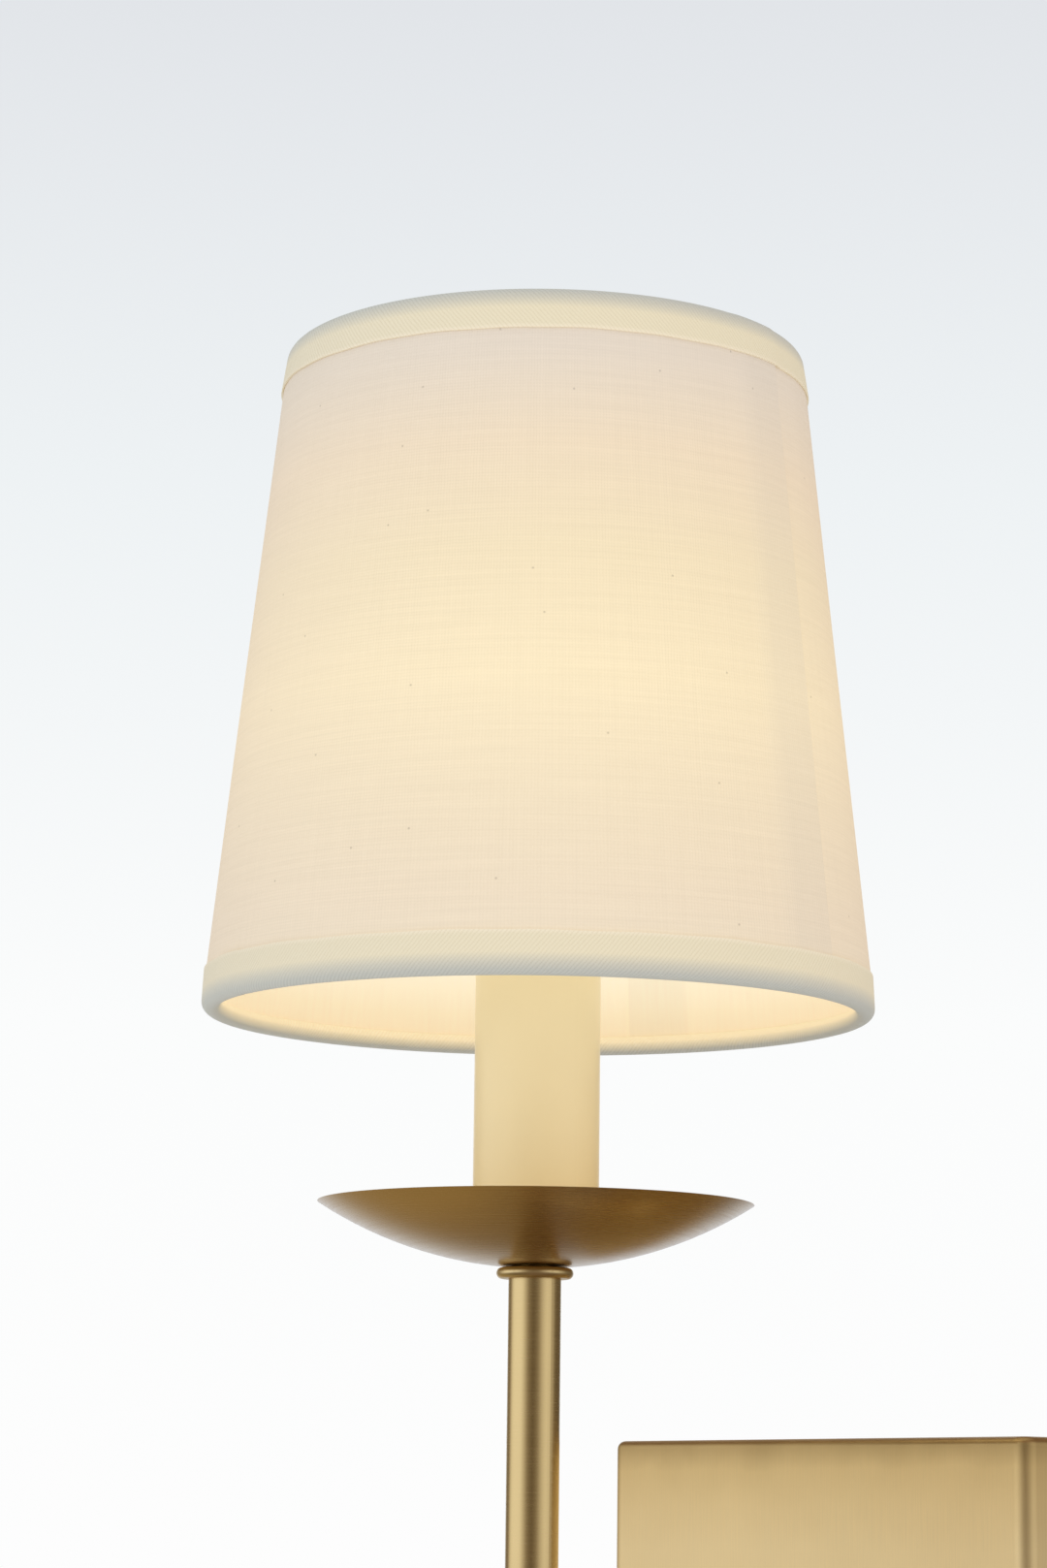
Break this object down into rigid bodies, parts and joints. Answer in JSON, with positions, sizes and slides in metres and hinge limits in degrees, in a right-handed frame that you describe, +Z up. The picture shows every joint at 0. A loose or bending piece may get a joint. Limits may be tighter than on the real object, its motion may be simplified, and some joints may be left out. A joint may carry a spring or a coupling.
{
  "type": "wall light",
  "caption": "Wall light: square brushed brass plate, short arm, upright stem with a dish and an ivory candle sleeve, and a tapered off-white fabric shade clipped on the bulb.",
  "frame": {"origin": "middle of the wall plate's back, in the plane of the wall and of the bracket's back", "axes": "+Z up along the stem, +Y into the wall; the light reaches towards -Y"},
  "size_m": [0.1292, 0.1596, 0.3279],
  "materials": {
    "brushed_brass": "brushed, vertical grain on the plate",
    "antique_brass": "satin, spun",
    "plated_steel": "zinc plated",
    "green_screw": "green dyed plating",
    "ivory_plastic": "smooth gloss",
    "black_plastic": "moulded",
    "solder": "dull",
    "black_glass": "fused black glass",
    "nickel": "nickel plated",
    "clear_glass": "clear",
    "tungsten": "glowing wire",
    "shade_cloth": "plain weave, off-white",
    "shade_backing": "smooth satin lining",
    "white_wire": "white coated wire",
    "trim_tape": "narrow twill tape",
    "brass_wire": "brass plated wire",
    "black_lead": "insulation",
    "white_lead": "insulation",
    "bare_copper": "bare copper",
    "connector_plastic": "moulded"
  },
  "bodies": {
    "fixture": {"backplate": "brushed_brass", "wall_bracket": "plated_steel", "ground_screw": "green_screw", "side_screws": "brushed_brass", "arm_rosette": "brushed_brass", "arm_tube": "brushed_brass", "arm_pipe": "plated_steel", "lock_washer": "plated_steel", "ground_lug": "plated_steel", "plate_nut": "plated_steel", "hub": "brushed_brass", "hub_pipes": "plated_steel", "finial": "brushed_brass", "stem_tube": "brushed_brass", "candle_pipe": "plated_steel", "collar_ring": "antique_brass", "dish": "antique_brass", "dish_nut": "plated_steel", "candle_sleeve": "ivory_plastic", "holder_strap": "plated_steel", "strap_nut": "plated_steel", "lampholder": "black_plastic", "screw_shell": "brushed_brass", "centre_contact": "brushed_brass", "live_lead": "black_lead", "neutral_lead": "white_lead", "ground_lead": "bare_copper", "wire_connectors": "connector_plastic"},
    "bulb_foot": {"bulb_tip": "solder", "bulb_insulator": "black_glass"},
    "bulb": {"bulb_base": "nickel", "bulb_glass": "clear_glass", "bulb_mount": "clear_glass", "support_wires": "nickel", "filament": "tungsten"},
    "shade": {"shade_fabric": "shade_cloth", "shade_lining": "shade_backing", "top_ring": "white_wire", "bottom_ring": "white_wire", "bottom_trim": "trim_tape", "top_trim": "trim_tape", "shade_spokes": "brass_wire", "clip_ring": "brass_wire", "clip_hairpins": "brass_wire"}
  },
  "joints": [
    {"name": "bulb_lift", "type": "slide", "parent": "fixture", "child": "bulb_foot", "axis": [0, 0, 1], "range_m": [0, 0.0102]},
    {"name": "bulb_turn", "type": "hinge", "parent": "bulb_foot", "child": "bulb", "pos_m": [0, -0.095, 0.2], "axis": [0, 0, 1], "range_deg": [0, 1440]},
    {"name": "shade_lift", "type": "slide", "parent": "bulb", "child": "shade", "axis": [0, 0, 1], "range_m": [0, 0.115]}
  ],
  "couplings": [
    {"joint": "bulb_lift", "follows": "bulb_turn", "m_per_rad": 0.00040425}
  ]
}
